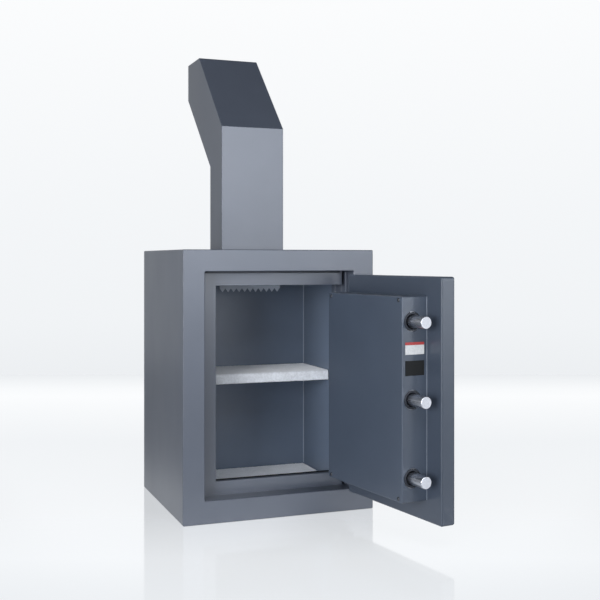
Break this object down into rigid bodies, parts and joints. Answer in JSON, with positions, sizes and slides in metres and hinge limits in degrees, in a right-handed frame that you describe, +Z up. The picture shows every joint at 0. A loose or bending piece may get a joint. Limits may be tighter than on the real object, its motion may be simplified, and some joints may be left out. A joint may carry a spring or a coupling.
{
  "type": "gooseneck deposit safe",
  "caption": "Steel deposit safe with a gooseneck drop chute on top, a hinged door with sliding round bolts, a combination dial, a lever handle and a carpeted shelf.",
  "frame": {"origin": "centre of the underside of the safe's body, on the plane that it stands on", "axes": "+Z up, +X to the right for someone facing the door opening, +Y into the safe; the door is stored standing open"},
  "size_m": [0.5468, 1.0403, 1.261],
  "materials": {
    "body_paint": "satin slate blue-grey paint with a fine orange-peel texture",
    "interior_paint": "satin slate grey paint",
    "door_paint": "satin dark slate paint",
    "insulation": "poured fire-resistant concrete, rough",
    "board": "plain particle board under the carpet",
    "carpet": "short-pile needle-felt carpet, light grey",
    "steel": "plain mild steel, brushed",
    "bright_zinc": "bright zinc plate with turning marks",
    "chrome": "polished chrome plate",
    "brass": "satin brass",
    "dial_black": "black enamel look with white marks",
    "label_white": "blank white sticker with a coloured band",
    "label_black": "blank black sticker, semi-gloss"
  },
  "bodies": {
    "body": {"outer_wrap": "body_paint", "back_panel": "body_paint", "front_frame": "body_paint", "reveal_liner": "body_paint", "stop_frame": "body_paint", "hinge_pocket": "body_paint", "keeper_strip": "body_paint", "inner_liner": "interior_paint", "insulation_fill": "insulation", "gooseneck_duct": "body_paint", "anti_fish_strip": "body_paint", "shelf_board": "board", "shelf_carpet": "carpet", "shelf_bracket_left": "interior_paint", "shelf_bracket_right": "interior_paint", "floor_carpet": "carpet", "frame_hinge_leaf_upper": "body_paint", "frame_hinge_leaf_lower": "body_paint", "hinge_pin_upper": "steel", "hinge_pin_lower": "steel", "hinge_washer_upper": "brass", "hinge_washer_lower": "brass"},
    "door": {"door_hinge_leaf_upper": "door_paint", "door_hinge_leaf_lower": "door_paint", "door_skin": "door_paint", "door_fill": "insulation", "door_back_plate": "door_paint", "hard_plate": "steel", "bolt_cover": "door_paint", "label_upper": "label_white", "label_lower": "label_black", "bolt_guide_plate": "steel", "carriage_guide": "steel", "fixed_bar": "steel", "handle_rosette": "chrome", "spindle_bush": "brass", "dial_ring": "chrome", "lock_mount": "steel", "lock_body": "brass", "cover_post_1": "steel", "cover_screw_1": "steel", "cover_post_2": "steel", "cover_screw_2": "steel", "cover_post_3": "steel", "cover_screw_3": "steel", "cover_post_4": "steel", "cover_screw_4": "steel", "bolt_bushing_upper": "steel", "bolt_bushing_middle": "steel", "bolt_bushing_lower": "steel"},
    "bolt_carriage": {"bolt_bar": "steel", "bolt_upper": "bright_zinc", "bolt_middle": "bright_zinc", "bolt_lower": "bright_zinc"},
    "handle": {"lever_handle": "chrome", "handle_spindle": "steel", "drive_cam": "steel"},
    "dial": {"combination_dial": "dial_black", "dial_spindle": "steel"},
    "lock_bolt": {"lock_bolt": "brass"}
  },
  "joints": [
    {"name": "door_swing", "type": "hinge", "parent": "body", "child": "door", "pos_m": [0.2175, -0.2415, 0.34], "axis": [0, 0, 1], "range_deg": [-98, 80]},
    {"name": "handle_turn", "type": "hinge", "parent": "door", "child": "handle", "pos_m": [0.24533, -0.43955, 0.342], "axis": [-0.9903, -0.1392, 0], "range_deg": [-90, 0]},
    {"name": "bolt_throw", "type": "slide", "parent": "door", "child": "bolt_carriage", "axis": [0.1392, -0.9903, 0], "range_m": [-0.049, 0]},
    {"name": "dial_spin", "type": "hinge", "parent": "door", "child": "dial", "pos_m": [0.24533, -0.43955, 0.4915], "axis": [-0.9903, -0.1392, 0], "continuous": true},
    {"name": "lock_bolt_slide", "type": "slide", "parent": "door", "child": "lock_bolt", "axis": [0, 0, -1], "range_m": [0, 0.009]}
  ],
  "couplings": [
    {"joint": "bolt_throw", "follows": "handle_turn", "m_per_rad": 0.031194}
  ]
}
